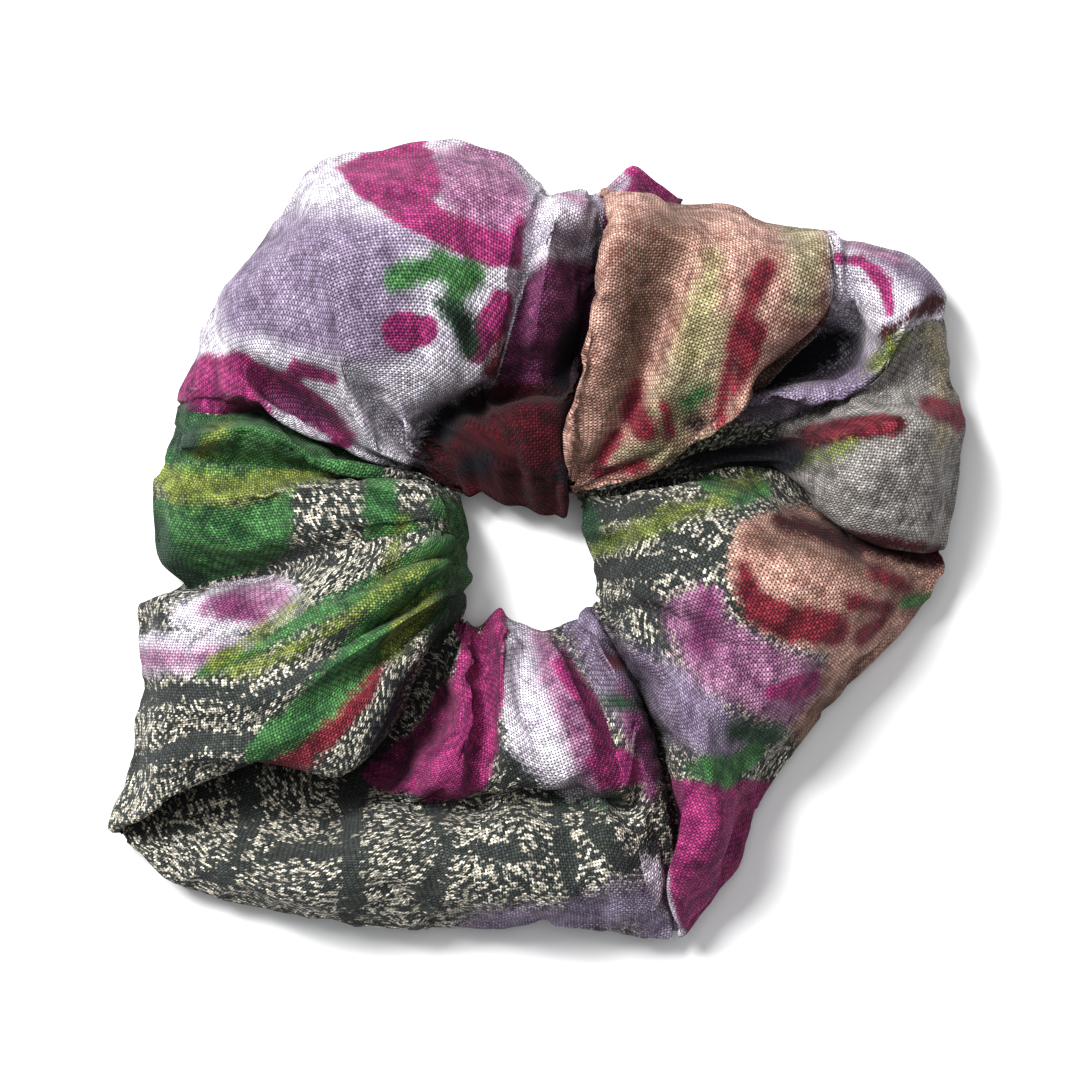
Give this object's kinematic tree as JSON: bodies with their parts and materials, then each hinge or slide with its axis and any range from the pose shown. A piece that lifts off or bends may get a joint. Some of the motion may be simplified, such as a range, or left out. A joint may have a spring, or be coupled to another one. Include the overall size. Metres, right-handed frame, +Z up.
{
  "type": "scrunchie",
  "caption": "Scrunchie: a gathered tube of printed cloth, sewn into a full, folded ring round a hidden loop of flat elastic, with a small centre hole that stretches open to hold hair.",
  "frame": {"origin": "on the surface it lies on, under the centre of its outline seen from above", "axes": "+Z up out of the ring, along the hair opening; +X towards the right of the ring, the way it is pulled open; +Y towards its top as seen from above"},
  "size_m": [0.1149, 0.1068, 0.0296],
  "materials": {
    "printed_cloth": "matte plain-weave cotton with a painterly floral print",
    "elastic": "matte knitted polyester over rubber cords",
    "sewing_thread": "slightly glossy spun polyester"
  },
  "bodies": {
    "left_bight": {"cover_fold_left_upper": "printed_cloth", "cover_fold_left_roll": "printed_cloth", "cover_fold_left": "printed_cloth", "cover_fold_left_lower": "printed_cloth", "elastic_loop": "elastic", "long_seam_allowance": "printed_cloth", "long_seam_needle_thread": "sewing_thread", "long_seam_bobbin_thread": "sewing_thread", "elastic_lap_needle_thread": "sewing_thread", "elastic_lap_bobbin_thread": "sewing_thread"},
    "left_shoulders": {"cover_fold_top_left": "printed_cloth", "cover_fold_bottom_left": "printed_cloth"},
    "middle": {"cover_fold_top_tuck": "printed_cloth", "cover_fold_bottom_right": "printed_cloth", "cross_seam_needle_thread": "sewing_thread", "cross_seam_bobbin_thread": "sewing_thread", "gap_needle_thread": "sewing_thread", "gap_bobbin_thread": "sewing_thread"},
    "right_shoulders": {"cover_fold_top_right": "printed_cloth", "cover_fold_lower_right": "printed_cloth"},
    "right_bight": {"cover_fold_right_upper": "printed_cloth", "cover_fold_right": "printed_cloth", "cover_fold_right_lower": "printed_cloth"}
  },
  "joints": [
    {"name": "stretch", "type": "slide", "parent": "left_bight", "child": "right_bight", "axis": [1, 0, 0], "range_m": [0, 0.07], "stiffness_N_per_m": 90, "deforming": ["elastic_loop", "long_seam_allowance", "long_seam_needle_thread", "long_seam_bobbin_thread"]},
    {"name": "left_shoulders_follow", "type": "slide", "parent": "left_bight", "child": "left_shoulders", "axis": [1, 0, 0], "range_m": [0, 0.021]},
    {"name": "middle_follow", "type": "slide", "parent": "left_bight", "child": "middle", "axis": [1, 0, 0], "range_m": [0, 0.0385]},
    {"name": "right_shoulders_follow", "type": "slide", "parent": "left_bight", "child": "right_shoulders", "axis": [1, 0, 0], "range_m": [0, 0.056]}
  ],
  "couplings": [
    {"joint": "left_shoulders_follow", "follows": "stretch", "ratio": 0.3},
    {"joint": "middle_follow", "follows": "stretch", "ratio": 0.55},
    {"joint": "right_shoulders_follow", "follows": "stretch", "ratio": 0.8}
  ]
}
